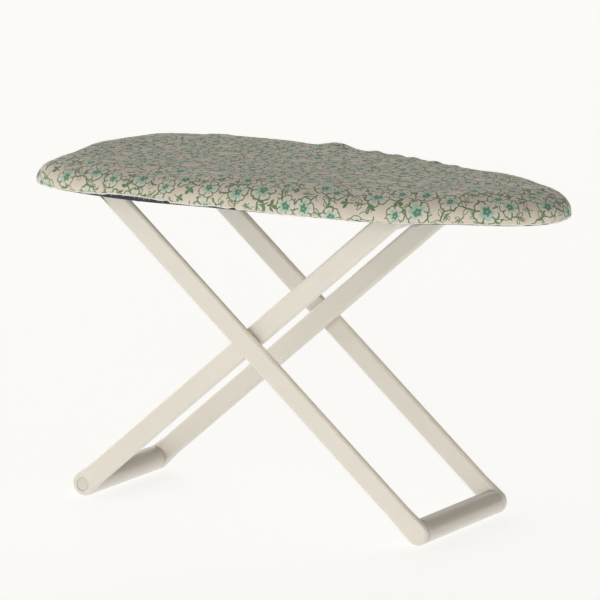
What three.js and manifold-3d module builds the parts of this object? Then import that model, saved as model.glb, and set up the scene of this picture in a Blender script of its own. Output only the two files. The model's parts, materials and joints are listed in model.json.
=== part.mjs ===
// A doll's-size folding ironing board, standing open. Millimetres, +Z up.
// The origin is on the surface that the board stands on, under the middle of the board.
// The board's square tail is at -X and its nose at +X. "near" is -Y and "far" is +Y.
// Two leg frames cross like scissors: the outer frame turns on a rod in two brackets under
// the tail, and the top rod of the inner frame carries a shoe that slides in a track.

import * as THREE from 'three';
import { mergeVertices } from 'three/addons/utils/BufferGeometryUtils.js';
import Module from 'manifold-3d';

const wasm = await Module();
wasm.setup();

// ---------- driving dimensions ----------

const boardLength = 142;
const boardWidth = 70.8;
const boardTop = 88.5;
const boardEdgeRadius = 6;
const tailBow = { straight: 8, bend: 16, bendInset: 0.8 };
const shoulder = {
  tail: { inset: 2.4, halfWidth: 22.4 },
  corner: { inset: 2.75, halfWidth: 23.8 },
  side: { inset: 3.8, halfWidth: 24.3 },
};
const sideSwell = { startX: -54.5, startHalfWidth: 27.1, endX: -47, widestX: -26.4 };
const noseTaper = { fullX: 12.4, tipShare: 0.52 };

const panelUnderside = 82.4;
const panelThickness = 2.2;
const panelInset = 1;
const coverWall = 0.4;
const coverRim = 82.9;
const padGap = 0.3;

const openAngle = THREE.MathUtils.degToRad(40.7);
const footSpan = 100;
const footRadius = 3.2;
const hingeHeight = 79;
const crossingX = -9.3;

const barWidth = 5.65;
const barThickness = 2.05;
const barEdgeRadius = 0.55;
const mitreGap = 0.2;
const mitreTip = 1.9;
const mitreHeel = 0.5;
const eyeTaper = 6;
const outerFrameHalfWidth = 20.9;
const frameGap = 0.31;

const hingeRodRadius = 1.1;
const slideRodRadius = 1.7;
const tieRodRadius = 1.7;
const pivotPinRadius = 1.2;
const tubeBoreRadius = 2.0;
const tubeEndRadius = 0.45;
const flushRecess = 0.06;
const boreFloor = 0.6;
const fitGap = 0.12;
const restGap = 0.15;

const bracketY = 9;
const bracketFlange = { length: 10.4, width: 4.6, thickness: 0.6 };
const bracketEar = { thickness: 0.8, radius: 2.15, rootHalfWidth: 2.6 };
const bracketRivetSpan = 7.4;
const bracketRivetOverhang = 0.4;

const track = { width: 7, height: 1.4, base: 0.45, wall: 0.6, lip: 0.35, slot: 3.1 };
const trackTab = 4.2;
const shoeHead = { length: 4.4, width: 5.5, thickness: 0.38 };
const shoeNeckWidth = 2.6;
const shoeEyeRadius = 2.5;
const shoeTravelMargin = 0.6;
const shoeHeadGap = 0.1;
const foldedAngle = THREE.MathUtils.degToRad(2.7);

const rivet = { headRadius: 1.05, headHeight: 0.5, shankRadius: 0.55, grip: 1.4 };
const rivetSeatGap = 0.04;
const cutterSpare = 1;

const roundSides = 24;
const smallSides = 16;
const mergeTolerance = 1e-4;

// ---------- sizes that follow from them ----------

const crossingHeight = footRadius + (footSpan / 2) * Math.tan(openAngle);
const upperHalf = (hingeHeight - crossingHeight) / Math.sin(openAngle);
const lowerHalf = footSpan / 2 / Math.cos(openAngle);
const barLength = upperHalf + lowerHalf;
const hingeX = crossingX - upperHalf * Math.cos(openAngle);
const slideX = crossingX + upperHalf * Math.cos(openAngle);
const slideTravel = 2 * upperHalf * (Math.cos(foldedAngle) - Math.cos(openAngle));

const outerBarY = outerFrameHalfWidth - barThickness / 2;
const innerBarY = outerBarY - barThickness - frameGap;
const mountTop = panelUnderside - restGap;
const trackBottom = mountTop - track.height;
const trackStart = slideX - shoeHead.length / 2 - shoeTravelMargin;
const trackEnd = slideX + slideTravel + shoeHead.length / 2 + shoeTravelMargin;
const rivetHoleRadius = rivet.shankRadius + fitGap;

const sides = [
  { name: 'near', sign: -1 },
  { name: 'far', sign: 1 },
];
const trackRivets = [
  { name: 'track_rivet_tail', x: trackStart - trackTab / 2 },
  { name: 'track_rivet_nose', x: trackEnd + trackTab / 2 },
];
const bracketRivets = [
  { end: 'tail', offset: -bracketRivetSpan / 2 },
  { end: 'nose', offset: bracketRivetSpan / 2 },
];
const bracketRivetY = bracketY + bracketFlange.width / 2 + bracketRivetOverhang;

// ---------- materials ----------

function finish(color, roughness, metalness) {
  return new THREE.MeshStandardMaterial({ color, roughness, metalness });
}

const creamPaint = finish(0xded8cb, 0.42, 0.1);
const navyPaint = finish(0x2a3038, 0.7, 0);
const wadding = finish(0xe9e4d8, 0.95, 0);
const printedCotton = finish(0xcfc4b4, 0.9, 0);
const plainSteel = finish(0xb4b2ac, 0.35, 0.9);

// ---------- joining and cutting closed shapes ----------

function toSolid(geometry) {
  const plain = geometry.clone();
  plain.deleteAttribute('normal');
  plain.deleteAttribute('uv');
  const merged = mergeVertices(plain, mergeTolerance);
  const vertProperties = Float32Array.from(merged.attributes.position.array);
  const triVerts = Uint32Array.from(merged.index.array);
  return new wasm.Manifold(new wasm.Mesh({ numProp: 3, vertProperties, triVerts }));
}

function toGeometry(solid) {
  const { vertProperties, triVerts } = solid.getMesh();
  const geometry = new THREE.BufferGeometry();
  geometry.setAttribute('position', new THREE.Float32BufferAttribute(vertProperties, 3));
  geometry.setIndex(new THREE.Uint32BufferAttribute(triVerts, 1));
  geometry.computeVertexNormals();
  return geometry;
}

function cut(geometry, tools) {
  return toGeometry(tools.reduce((solid, tool) => solid.subtract(toSolid(tool)), toSolid(geometry)));
}

function join(geometries) {
  return toGeometry(geometries.map(toSolid).reduce((whole, solid) => whole.add(solid)));
}

function part(name, geometry, material) {
  const mesh = new THREE.Mesh(geometry, material);
  mesh.name = name;
  return mesh;
}

// A cylinder along Y, centred at (x, y, z).
function rodAlongY(radius, length, segments, x = 0, y = 0, z = 0) {
  return new THREE.CylinderGeometry(radius, radius, length, segments).translate(x, y, z);
}

// A cylinder along Z, from bottom to top.
function rodAlongZ(radius, bottom, top, segments, x, y) {
  const rod = new THREE.CylinderGeometry(radius, radius, top - bottom, segments);
  return rod.rotateX(Math.PI / 2).translate(x, y, (bottom + top) / 2);
}

// A flat plate whose outline is drawn in X and Z, centred on Y = 0.
function plateInXZ(shape, thickness, bevel, curveSegments) {
  const plate = new THREE.ExtrudeGeometry(shape, {
    depth: thickness - 2 * bevel,
    bevelEnabled: bevel > 0,
    bevelThickness: bevel,
    bevelSize: bevel,
    bevelOffset: -bevel,
    bevelSegments: 2,
    curveSegments,
  });
  return plate.translate(0, 0, bevel - thickness / 2).rotateX(Math.PI / 2);
}

// ---------- board: panel, pad and cover ----------

// Half of the core outline, from the middle of the tail to the tip of the nose: a bowed tail,
// a tight shoulder, a side that swells to the widest place, and a long taper to a round nose.
// The finished edge runs boardEdgeRadius outside this line.
function coreHalfOutline() {
  const tailX = -boardLength / 2 + boardEdgeRadius;
  const noseX = boardLength / 2 - boardEdgeRadius;
  const half = boardWidth / 2 - boardEdgeRadius;
  const point = (x, y) => new THREE.Vector2(x, y);
  const onShoulder = ({ inset, halfWidth }) => point(tailX + inset, halfWidth);

  const tail = point(tailX, 0);
  const tailStraight = point(tailX, tailBow.straight);
  const tailBend = point(tailX + tailBow.bendInset, tailBow.bend);
  const tailEnd = onShoulder(shoulder.tail);
  const corner = onShoulder(shoulder.corner);
  const sideStart = onShoulder(shoulder.side);
  const swellStart = point(sideSwell.startX, sideSwell.startHalfWidth);
  const swellEnd = point(sideSwell.endX, half);
  const widest = point(sideSwell.widestX, half);
  const taperStart = point(noseTaper.fullX, half);
  const taperEnd = point(noseX, noseTaper.tipShare * half);
  const nose = point(noseX, 0);

  const stretches = [
    [new THREE.CubicBezierCurve(tail, tailStraight, tailBend, tailEnd), 5],
    [new THREE.QuadraticBezierCurve(tailEnd, corner, sideStart), 4],
    [new THREE.CubicBezierCurve(sideStart, swellStart, swellEnd, widest), 7],
    [new THREE.CubicBezierCurve(widest, taperStart, taperEnd, nose), 14],
  ];
  return stretches.flatMap(([curve, steps], index) => curve.getPoints(steps).slice(index > 0 ? 1 : 0));
}

// The board's plan at a distance outside its core outline.
function boardPlan(outset) {
  const half = coreHalfOutline();
  const mirrored = half.slice(1, -1).reverse().map((p) => new THREE.Vector2(p.x, -p.y));
  const core = [...half, ...mirrored];
  const moved = core.map((here, index) => {
    const before = core.at(index - 1);
    const after = core[(index + 1) % core.length];
    const along = after.clone().sub(before).normalize();
    return new THREE.Vector2(here.x - along.y * outset, here.y + along.x * outset);
  });
  return new THREE.Shape(moved);
}

// A slab of the board's plan with a rounded upper edge, cut off flat at the bottom.
function roundedSlab(inset, bottom) {
  const edgeRadius = boardEdgeRadius - inset;
  const spareDepth = 2;
  const slab = new THREE.ExtrudeGeometry(boardPlan(0), {
    depth: spareDepth,
    bevelThickness: edgeRadius,
    bevelSize: edgeRadius,
    bevelSegments: 4,
  });
  slab.translate(0, 0, boardTop - inset - edgeRadius - spareDepth);
  const below = new THREE.BoxGeometry(2 * boardLength, 2 * boardWidth, boardTop);
  below.translate(0, 0, bottom - boardTop / 2);
  return cut(slab, [below]);
}

function basePanel() {
  const panel = new THREE.ExtrudeGeometry(boardPlan(boardEdgeRadius - panelInset), {
    depth: panelThickness,
    bevelEnabled: false,
  });
  panel.translate(0, 0, panelUnderside);
  const holeBottom = panelUnderside - cutterSpare;
  const holeTop = panelUnderside + rivet.grip + fitGap;
  const hole = (x, y) => rodAlongZ(rivetHoleRadius, holeBottom, holeTop, smallSides, x, y);
  const bracketHoles = sides.flatMap(({ sign }) =>
    bracketRivets.map(({ offset }) => hole(hingeX + offset, sign * bracketRivetY)),
  );
  const trackHoles = trackRivets.map(({ x }) => hole(x, 0));
  return part('base_panel', cut(panel, [...bracketHoles, ...trackHoles]), navyPaint);
}

function foamPad() {
  const bottom = panelUnderside + panelThickness + restGap;
  return part('foam_pad', roundedSlab(coverWall + padGap, bottom), wadding);
}

function fabricCover() {
  const outside = roundedSlab(0, coverRim);
  const inside = roundedSlab(coverWall, coverRim - cutterSpare);
  return part('fabric_cover', cut(outside, [inside]), printedCotton);
}

// ---------- brackets, track and rivets under the board ----------

// A domed rivet head below the mount, with its shank going up through it into the panel.
function rivetAt(name, x, y, seat) {
  const { headRadius, headHeight, shankRadius, grip } = rivet;
  const shankTop = panelUnderside + grip - seat;
  const dome = (t) => new THREE.Vector2(headRadius * Math.cos(t), -headHeight * Math.sin(t));
  const profile = [
    new THREE.Vector2(0, -headHeight),
    dome(Math.PI / 3),
    dome(Math.PI / 6),
    dome(0),
    new THREE.Vector2(shankRadius, 0),
    new THREE.Vector2(shankRadius, shankTop),
    new THREE.Vector2(0, shankTop),
  ];
  const geometry = new THREE.LatheGeometry(profile, smallSides).rotateX(Math.PI / 2);
  return part(name, geometry.translate(x, y, seat), plainSteel);
}

// An angle bracket: a flange under the panel and an ear with the hole for the hinge rod.
function hingeBracket({ name, sign }) {
  const { length, width, thickness } = bracketFlange;
  const flangeBottom = mountTop - thickness;
  const flange = new THREE.BoxGeometry(length, width, thickness);
  flange.translate(hingeX, sign * (bracketY + width / 2), mountTop - thickness / 2);

  const earShape = new THREE.Shape();
  const reach = flangeBottom + thickness / 2 - hingeHeight;
  earShape.moveTo(bracketEar.rootHalfWidth, reach);
  earShape.lineTo(-bracketEar.rootHalfWidth, reach);
  earShape.absarc(0, 0, bracketEar.radius, Math.PI, 2 * Math.PI, false);
  const ear = plateInXZ(earShape, bracketEar.thickness, 0, smallSides / 2);
  ear.translate(hingeX, sign * (bracketY + bracketEar.thickness / 2), hingeHeight);

  const rodHole = rodAlongY(hingeRodRadius + fitGap, 2 * bracketFlange.width, roundSides);
  rodHole.translate(hingeX, sign * bracketY, hingeHeight);
  const rivetHoles = bracketRivets.map(({ offset }) => {
    const x = hingeX + offset;
    const bottom = flangeBottom - cutterSpare;
    return rodAlongZ(rivetHoleRadius, bottom, mountTop + cutterSpare, smallSides, x, sign * bracketRivetY);
  });
  const bracket = cut(join([flange, ear]), [rodHole, ...rivetHoles]);
  return part(`hinge_bracket_${name}`, bracket, plainSteel);
}

function bracketRivetPair({ name, sign }) {
  const seat = mountTop - bracketFlange.thickness - rivetSeatGap;
  return bracketRivets.map(({ end, offset }) =>
    rivetAt(`bracket_rivet_${name}_${end}`, hingeX + offset, sign * bracketRivetY, seat),
  );
}

// A C-section track with inward lips, and a flat tab at each end for its rivet.
function slideTrack() {
  const { width, height, base, wall, lip, slot } = track;
  const section = new THREE.Shape();
  section.moveTo(-width / 2, height);
  section.lineTo(-width / 2, 0);
  section.lineTo(-slot / 2, 0);
  section.lineTo(-slot / 2, lip);
  section.lineTo(-width / 2 + wall, lip);
  section.lineTo(-width / 2 + wall, height - base);
  section.lineTo(width / 2 - wall, height - base);
  section.lineTo(width / 2 - wall, lip);
  section.lineTo(slot / 2, lip);
  section.lineTo(slot / 2, 0);
  section.lineTo(width / 2, 0);
  section.lineTo(width / 2, height);
  const rail = new THREE.ExtrudeGeometry(section, { depth: trackEnd - trackStart, bevelEnabled: false });
  rail.rotateX(Math.PI / 2).rotateZ(Math.PI / 2).translate(trackStart, 0, trackBottom);

  const tabs = new THREE.BoxGeometry(trackEnd - trackStart + 2 * trackTab, width, base);
  tabs.translate((trackStart + trackEnd) / 2, 0, mountTop - base / 2);
  const holes = trackRivets.map(({ x }) =>
    rodAlongZ(rivetHoleRadius, trackBottom, mountTop + cutterSpare, smallSides, x, 0),
  );
  return part('slide_track', cut(join([rail, tabs]), holes), plainSteel);
}

function trackRivetPair() {
  const seat = mountTop - track.base - rivetSeatGap;
  return trackRivets.map(({ name, x }) => rivetAt(name, x, 0, seat));
}

// ---------- leg frames ----------

// Where a bore opens: through both faces of a bar, or only on the face that is towards (-1) or
// away from (1) the board's middle plane.
const THROUGH = 0;
const INWARD = -1;
const OUTWARD = 1;

// One flat bar, with X running from its top bore to its foot bore. The foot end widens along a
// short taper to a round eye. The top end is mitred, level with the board when it stands open,
// and rise is 1 or -1, the side of the bar that faces the board.
function legBar(name, sign, barY, rise, bores) {
  const half = barWidth / 2;
  const eyeReach = Math.hypot(eyeTaper, half);
  const tangent = Math.atan2(half, eyeTaper) + Math.acos(footRadius / eyeReach);
  const mitreTop = panelUnderside - mitreGap - hingeHeight;
  const mitreX = (w) => (w * Math.cos(openAngle) - mitreTop) / Math.sin(openAngle);
  const tipX = mitreX(-half);
  const heelX = mitreX(half);
  const tipCut = mitreTip * Math.cos(openAngle);
  const heelCut = mitreHeel * Math.cos(openAngle);
  const points = [
    [barLength - eyeTaper, half],
    [heelX + mitreHeel, half],
    [heelX - heelCut, half - mitreHeel * Math.sin(openAngle)],
    [tipX + tipCut, mitreTip * Math.sin(openAngle) - half],
    [tipX + mitreTip, -half],
    [barLength - eyeTaper, -half],
  ];
  const outline = new THREE.Shape(points.map(([x, w]) => new THREE.Vector2(x, rise * w)));
  const eyeStart = rise * (tangent - Math.PI);
  outline.absarc(barLength, 0, footRadius, eyeStart, -eyeStart, rise < 0);
  const bar = plateInXZ(outline, barThickness, barEdgeRadius, smallSides / 2);
  const cutters = bores.map(({ x, radius, opening }) => {
    const length = opening === THROUGH ? 2 * barThickness : 2 * (barThickness - boreFloor);
    return rodAlongY(radius + fitGap, length, roundSides, x, opening * sign * (barThickness / 2));
  });
  return part(name, cut(bar, cutters).translate(0, sign * barY, 0), creamPaint);
}

// The round foot between the bars: a tube with softened ends, on a tie rod through both bars.
function footTube(name, barY) {
  const halfLength = barY - barThickness / 2 - restGap;
  const corner = (t) =>
    new THREE.Vector2(
      footRadius - tubeEndRadius * (1 - Math.cos(t)),
      halfLength - tubeEndRadius * (1 - Math.sin(t)),
    );
  const rounded = [0, Math.PI / 4, Math.PI / 2].map(corner);
  const mirrored = rounded.map((p) => new THREE.Vector2(p.x, -p.y)).reverse();
  const profile = [
    new THREE.Vector2(tubeBoreRadius, -halfLength),
    ...mirrored,
    ...rounded,
    new THREE.Vector2(tubeBoreRadius, halfLength),
    new THREE.Vector2(tubeBoreRadius, -halfLength),
  ];
  const tube = new THREE.LatheGeometry(profile, roundSides);
  return part(name, tube.translate(barLength, 0, 0), creamPaint);
}

// A rod through both bars of a frame. Its ends are just below their outer faces where the
// bores go through, and seat in blind bores where they open inward.
function crossRod({ name, radius, x, opening, material }, barY) {
  const endGap = opening === THROUGH ? flushRecess : boreFloor + fitGap;
  const length = 2 * (barY + barThickness / 2 - endGap);
  return part(name, rodAlongY(radius, length, roundSides, x), material);
}

function legFrame(prefix, barY, rise, pinOpening, topRod, footRod) {
  const frame = new THREE.Group();
  const pinBore = { x: upperHalf, radius: pivotPinRadius, opening: pinOpening };
  for (const { name, sign } of sides) {
    frame.add(legBar(`${prefix}_bar_${name}`, sign, barY, rise, [topRod, pinBore, footRod]));
  }
  frame.add(footTube(`${prefix}_foot_tube`, barY));
  frame.add(crossRod(topRod, barY));
  frame.add(crossRod(footRod, barY));
  return frame;
}

// The pin at the crossing, seated in blind bores of the outer bar and the inner bar.
function pivotPin({ name, sign }) {
  const endGap = boreFloor + fitGap;
  const outerEnd = outerFrameHalfWidth - endGap;
  const innerEnd = innerBarY - barThickness / 2 + endGap;
  const middle = (sign * (outerEnd + innerEnd)) / 2;
  const pin = rodAlongY(pivotPinRadius, outerEnd - innerEnd, roundSides, upperHalf, middle);
  return part(`pivot_pin_${name}`, pin, creamPaint);
}

// ---------- shoe on the inner frame's top rod ----------

function slideShoe() {
  const headTop = mountTop - track.base - shoeHeadGap;
  const headMiddle = headTop - shoeHead.thickness / 2;
  const head = new THREE.BoxGeometry(shoeHead.length, shoeHead.width, shoeHead.thickness);
  head.translate(slideX, 0, headMiddle);
  const neckShape = new THREE.Shape();
  const reach = headMiddle - hingeHeight;
  neckShape.moveTo(shoeEyeRadius, reach);
  neckShape.lineTo(-shoeEyeRadius, reach);
  neckShape.absarc(0, 0, shoeEyeRadius, Math.PI, 2 * Math.PI, false);
  const neck = plateInXZ(neckShape, shoeNeckWidth, 0, smallSides / 2);
  neck.translate(slideX, 0, hingeHeight);
  const bore = rodAlongY(slideRodRadius + fitGap, 2 * shoeNeckWidth, roundSides);
  bore.translate(slideX, 0, hingeHeight);
  return part('slide_shoe', cut(join([head, neck]), [bore]), plainSteel);
}

// ---------- assembly ----------

const ironingBoard = new THREE.Group();
ironingBoard.add(basePanel(), foamPad(), fabricCover());
ironingBoard.add(...sides.map(hingeBracket), ...sides.flatMap(bracketRivetPair));
ironingBoard.add(slideTrack(), ...trackRivetPair());

const hingeRod = {
  name: 'outer_hinge_rod',
  radius: hingeRodRadius,
  x: 0,
  opening: INWARD,
  material: plainSteel,
};
const slideRod = {
  name: 'inner_slide_rod',
  radius: slideRodRadius,
  x: 0,
  opening: INWARD,
  material: creamPaint,
};
const footRod = (prefix, opening) => ({
  name: `${prefix}_foot_rod`,
  radius: tieRodRadius,
  x: barLength,
  opening,
  material: creamPaint,
});

const outerFrame = legFrame('outer', outerBarY, 1, INWARD, hingeRod, footRod('outer', INWARD));
outerFrame.add(...sides.map(pivotPin));
outerFrame.position.set(hingeX, 0, hingeHeight);
outerFrame.rotation.y = openAngle;
ironingBoard.add(outerFrame);

const innerFrame = legFrame('inner', innerBarY, -1, OUTWARD, slideRod, footRod('inner', THROUGH));
innerFrame.position.set(slideX, 0, hingeHeight);
innerFrame.rotation.y = Math.PI - openAngle;
ironingBoard.add(innerFrame);

ironingBoard.add(slideShoe());

export default ironingBoard;
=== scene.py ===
"""Looks of the doll's-size folding ironing board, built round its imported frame.

The cloth cover, pad, panel, leg bars and rods are modelled here with smooth edges. The small
brackets, rivets, track and shoe under the board are the frame's own solids, with bevelled edges.
All lengths are metres in the frame's own axes: tail at -X, nose at +X, +Z up.
"""

import json
import math

import bmesh
import bpy
import numpy as np
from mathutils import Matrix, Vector
from mathutils.geometry import tessellate_polygon


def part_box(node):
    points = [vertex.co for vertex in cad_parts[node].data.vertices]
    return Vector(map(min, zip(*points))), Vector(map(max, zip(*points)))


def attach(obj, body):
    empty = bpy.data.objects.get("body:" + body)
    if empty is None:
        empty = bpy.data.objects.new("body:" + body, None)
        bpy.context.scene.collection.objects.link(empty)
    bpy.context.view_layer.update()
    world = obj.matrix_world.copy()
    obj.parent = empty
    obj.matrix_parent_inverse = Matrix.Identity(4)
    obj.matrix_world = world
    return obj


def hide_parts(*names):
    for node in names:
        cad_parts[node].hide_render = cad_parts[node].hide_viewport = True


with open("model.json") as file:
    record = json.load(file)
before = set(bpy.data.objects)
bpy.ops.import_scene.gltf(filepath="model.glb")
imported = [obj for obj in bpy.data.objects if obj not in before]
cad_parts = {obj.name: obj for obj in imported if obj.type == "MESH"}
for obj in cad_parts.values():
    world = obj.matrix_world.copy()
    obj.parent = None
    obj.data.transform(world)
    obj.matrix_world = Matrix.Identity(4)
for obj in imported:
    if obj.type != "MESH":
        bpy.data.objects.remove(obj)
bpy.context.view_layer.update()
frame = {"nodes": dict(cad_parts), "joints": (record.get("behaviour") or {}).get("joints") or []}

MM = 0.001
TAU = 2 * math.pi

# ---------- camera ----------

VIEW_AZIMUTH = math.radians(30.94)
VIEW_ELEVATION = math.radians(11.65)
VIEW_DISTANCE = 1.5213
VIEW_AIM = Vector((-5.2 * MM, 0, 54 * MM))
LENS = 360
SENSOR = 36


def placed(name, data):
    """A new object in the scene."""
    thing = bpy.data.objects.new(name, data)
    bpy.context.scene.collection.objects.link(thing)
    return thing


def add_camera():
    data = bpy.data.cameras.new("camera")
    data.lens = LENS
    data.sensor_width = SENSOR
    data.clip_start = 0.1
    data.clip_end = 20
    camera = placed("camera", data)
    level = math.cos(VIEW_ELEVATION)
    back = Vector((
        math.sin(VIEW_AZIMUTH) * level,
        -math.cos(VIEW_AZIMUTH) * level,
        math.sin(VIEW_ELEVATION),
    ))
    camera.location = VIEW_AIM + back * VIEW_DISTANCE
    camera.rotation_euler = (-back).to_track_quat("-Z", "Y").to_euler()
    bpy.context.scene.camera = camera


add_camera()

# ---------- places taken from the frame ----------

joints = {joint["name"]: Vector(joint["pos_m"]) for joint in frame["joints"]}
HINGE = joints["outer_leg_fold"]
CROSSING = joints["inner_leg_fold"]
SLIDE = joints["slide_shoe_turn"]


def middle(node):
    low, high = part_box(node)
    return (low + high) / 2


def size(node):
    low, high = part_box(node)
    return high - low


OUTER_FOOT = middle("outer_foot_rod")
INNER_FOOT = middle("inner_foot_rod")
COVER_LOW, COVER_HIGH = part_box("fabric_cover")
PANEL_LOW, PANEL_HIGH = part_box("base_panel")
PAD_LOW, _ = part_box("foam_pad")
EDGE_RADIUS = 6 * MM
PANEL_INSET = 1 * MM
PANEL_WORN = 0.3 * MM
PAD_INSET = 0.8 * MM
FOOT_RADIUS = size("outer_foot_tube").x / 2

# ---------- mesh helpers ----------

FINE_JOIN = 0.001 * MM


def new_mesh(name, points, faces):
    mesh = bpy.data.meshes.new(name)
    mesh.from_pydata([tuple(point) for point in points], [], faces)
    return mesh


def add_piece(name, points, faces, finish, body):
    """A piece that rides on a body. Its finish is (material, slot in the record); the slot is not
    used.
    """
    material, slot = finish
    mesh = new_mesh(name, points, faces)
    mesh.validate()
    mesh.update()
    mesh.shade_smooth()
    mesh.materials.append(material)
    piece = placed(name, mesh)
    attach(piece, body)
    return piece


def band(first, second, count):
    """Quads between two rings of count points each, given the rings' first indices."""
    return [
        (second + i, second + (i + 1) % count, first + (i + 1) % count, first + i)
        for i in range(count)
    ]


def mark(piece, name, values):
    """Gives each point of a piece a number that its material reads."""
    attribute = piece.data.attributes.new(name, "FLOAT", "POINT")
    attribute.data.foreach_set("value", values)


def close_up(piece, distance=0.02 * MM):
    """Joins points that lie on each other and turns every face outward."""
    work = bmesh.new()
    work.from_mesh(piece.data)
    bmesh.ops.remove_doubles(work, verts=work.verts, dist=distance)
    bmesh.ops.recalc_face_normals(work, faces=work.faces)
    work.to_mesh(piece.data)
    work.free()


def even_normals(piece):
    modifier = piece.modifiers.new("even_normals", "WEIGHTED_NORMAL")
    modifier.keep_sharp = True
    modifier.weight = 80


def revolved(name, profile, centre, finish, body, sides=64):
    """A piece turned about a line along Y: the profile is (radius, y) pairs about the centre."""
    points, faces, rings = [], [], []
    for radius, y in profile:
        rings.append(len(points))
        if radius == 0:
            points.append((centre.x, centre.y + y, centre.z))
            continue
        for i in range(sides):
            angle = TAU * i / sides
            x = centre.x + radius * math.cos(angle)
            z = centre.z + radius * math.sin(angle)
            points.append((x, centre.y + y, z))
    closed = profile[0] != profile[-1] and profile[0][0] > 0
    pairs = list(zip(range(len(rings)), range(1, len(rings))))
    if closed:
        pairs.append((len(rings) - 1, 0))
    for a, b in pairs:
        if profile[a][0] == 0:
            faces += [(rings[a], rings[b] + (i + 1) % sides, rings[b] + i) for i in range(sides)]
        elif profile[b][0] == 0:
            faces += [(rings[a] + i, rings[a] + (i + 1) % sides, rings[b]) for i in range(sides)]
        else:
            faces += band(rings[a], rings[b], sides)
    piece = add_piece(name, points, faces, finish, body)
    close_up(piece, FINE_JOIN)
    even_normals(piece)
    return piece


def quarter_round(edge, steps):
    """(distance in from the side, distance in from the face) round an edge, face to side."""
    arc = [math.pi / 2 * i / steps for i in range(steps + 1)]
    return [(edge * (1 - math.sin(a)), edge * (1 - math.cos(a))) for a in arc]


def round_side(radius, half_length, edge, steps):
    """(radius, y) pairs along the side of a rod or tube whose two rims are rounded."""
    end = [(radius - inset, half_length - depth) for inset, depth in quarter_round(edge, steps)]
    start = [(r, -y) for r, y in end]
    return [*start, *reversed(end)]


# ---------- nodes helper ----------


def using(operation):
    """A method of Field that adds one Math node."""
    return lambda field, *others: field.math(operation, *others)


class Field:
    """A number that varies over a surface. Arithmetic on it adds Math nodes to its material."""

    __add__ = using("ADD")
    __sub__ = using("SUBTRACT")
    __mul__ = using("MULTIPLY")
    __truediv__ = using("DIVIDE")
    sin = using("SINE")
    cos = using("COSINE")
    abs = using("ABSOLUTE")
    sign = using("SIGN")
    smaller = using("MINIMUM")
    larger = using("MAXIMUM")
    wrapped = using("FLOORED_MODULO")

    def __init__(self, tree, socket):
        self.tree = tree
        self.socket = socket

    def math(self, operation, *others):
        node = self.tree.nodes.new("ShaderNodeMath")
        node.operation = operation
        for target, value in zip(node.inputs, (self, *others)):
            if isinstance(value, Field):
                self.tree.links.new(value.socket, target)
            else:
                target.default_value = value
        return Field(self.tree, node.outputs[0])

    def __rsub__(self, other):
        return (self * -1.0) + other

    def below(self, edge, soft):
        """1 where this is under the edge, 0 where it is over it, with a soft step between."""
        return ((self - edge) * (-0.5 / soft) + 0.5).clamped()

    def clamped(self):
        field = self * 1.0
        field.socket.node.use_clamp = True
        return field

    def inverse(self):
        return 1.0 - self


def length_of(x, y):
    return (x * x + y * y).math("SQRT")


class Surface:
    """A Principled material being put together from nodes."""

    def __init__(self, name, **settings):
        self.material = bpy.data.materials.new(name)
        self.material.use_nodes = True
        self.tree = self.material.node_tree
        self.shader = self.tree.nodes["Principled BSDF"]
        for socket, value in settings.items():
            self.shader.inputs[socket.replace("_", " ")].default_value = value

    def node(self, kind, **inputs):
        node = self.tree.nodes.new("ShaderNode" + kind)
        for name, value in inputs.items():
            self.feed(node.inputs[name.replace("_", " ")], value)
        return node

    def feed(self, socket, value):
        if isinstance(value, Field):
            value = value.socket
        if isinstance(value, bpy.types.NodeSocket):
            self.tree.links.new(value, socket)
        else:
            socket.default_value = value

    def field(self, socket):
        return Field(self.tree, socket)

    def node_attribute(self, name, output="Vector"):
        node = self.node("Attribute")
        node.attribute_name = name
        return node.outputs[output]

    def place(self):
        """The point's own place on the object, in metres."""
        return self.node("TexCoord").outputs["Object"]

    def vector_math(self, operation, vector, other):
        node = self.node("VectorMath", Vector=vector)
        node.operation = operation
        node.inputs[1].default_value = other
        return node.outputs[0]

    def scaled(self, vector, factors):
        return self.vector_math("MULTIPLY", vector, factors)

    def moved(self, vector, offset):
        return self.vector_math("ADD", vector, offset)

    def split(self, vector):
        node = self.node("SeparateXYZ", Vector=vector)
        return [self.field(output) for output in node.outputs]

    def joined(self, x, y):
        return self.node("CombineXYZ", X=x, Y=y).outputs[0]

    def noise(self, vector, scale, detail, roughness=0.5):
        node = self.node("TexNoise", Vector=vector, Scale=scale, Detail=detail, Roughness=roughness)
        return self.field(node.outputs[0])

    def mixed(self, share, first, second):
        """A blend of two colours, which a Mix node takes at inputs 6 and 7."""
        node = self.tree.nodes.new("ShaderNodeMix")
        node.data_type = "RGBA"
        self.feed(node.inputs[0], share)
        self.feed(node.inputs[6], first)
        self.feed(node.inputs[7], second)
        return node.outputs[2]

    def bump(self, height, distance, strength):
        node = self.node("Bump", Height=height, Distance=distance, Strength=strength)
        self.feed(self.shader.inputs["Normal"], node.outputs[0])

    def color(self, socket):
        self.feed(self.shader.inputs["Base Color"], socket)

    def roughness(self, field):
        self.feed(self.shader.inputs["Roughness"], field)


def tone(red, green, blue):
    """A display colour, 0 to 255, as the linear values that a shader takes."""
    def linear(value):
        share = value / 255
        return share / 12.92 if share <= 0.04045 else ((share + 0.055) / 1.055) ** 2.4
    return (linear(red), linear(green), linear(blue), 1.0)


# ---------- materials ----------


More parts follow.
